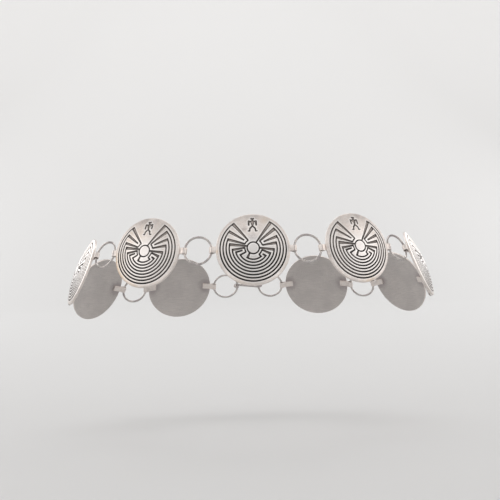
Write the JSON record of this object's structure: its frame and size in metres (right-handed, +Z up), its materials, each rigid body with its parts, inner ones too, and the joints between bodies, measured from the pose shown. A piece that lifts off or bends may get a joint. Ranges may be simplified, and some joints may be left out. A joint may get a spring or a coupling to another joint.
{
  "type": "concho belt",
  "caption": "Belt of round domed silver conchos with a recessed maze and small figure, joined by wire rings through folded strap bails and closed by an S hook.",
  "frame": {"origin": "middle of the belt's loop, half way between its highest and lowest bails, where the waist stands", "axes": "+Z up, -Y out of the front concho, +X to the viewer's right from the front"},
  "size_m": [0.276, 0.1929, 0.0831],
  "materials": {
    "concho_silver": "satin silver with dark oxidised grooves",
    "ring_silver": "polished silver wire, lightly worn",
    "hook_silver": "polished silver wire, lightly worn"
  },
  "bodies": {
    "root": {"concho_front": "concho_silver", "concho_right_1": "concho_silver", "concho_right_2": "concho_silver", "concho_right_3": "concho_silver", "concho_right_4": "concho_silver", "concho_left_1": "concho_silver", "concho_left_2": "concho_silver", "concho_left_3": "concho_silver", "concho_left_4": "concho_silver", "ring_right_1": "ring_silver", "ring_right_2": "ring_silver", "ring_right_3": "ring_silver", "ring_right_4": "ring_silver", "ring_right_5": "ring_silver", "ring_left_1": "ring_silver", "ring_left_2": "ring_silver", "ring_left_3": "ring_silver", "ring_left_4": "ring_silver", "ring_left_5": "ring_silver", "clasp_hook": "hook_silver"}
  },
  "joints": []
}
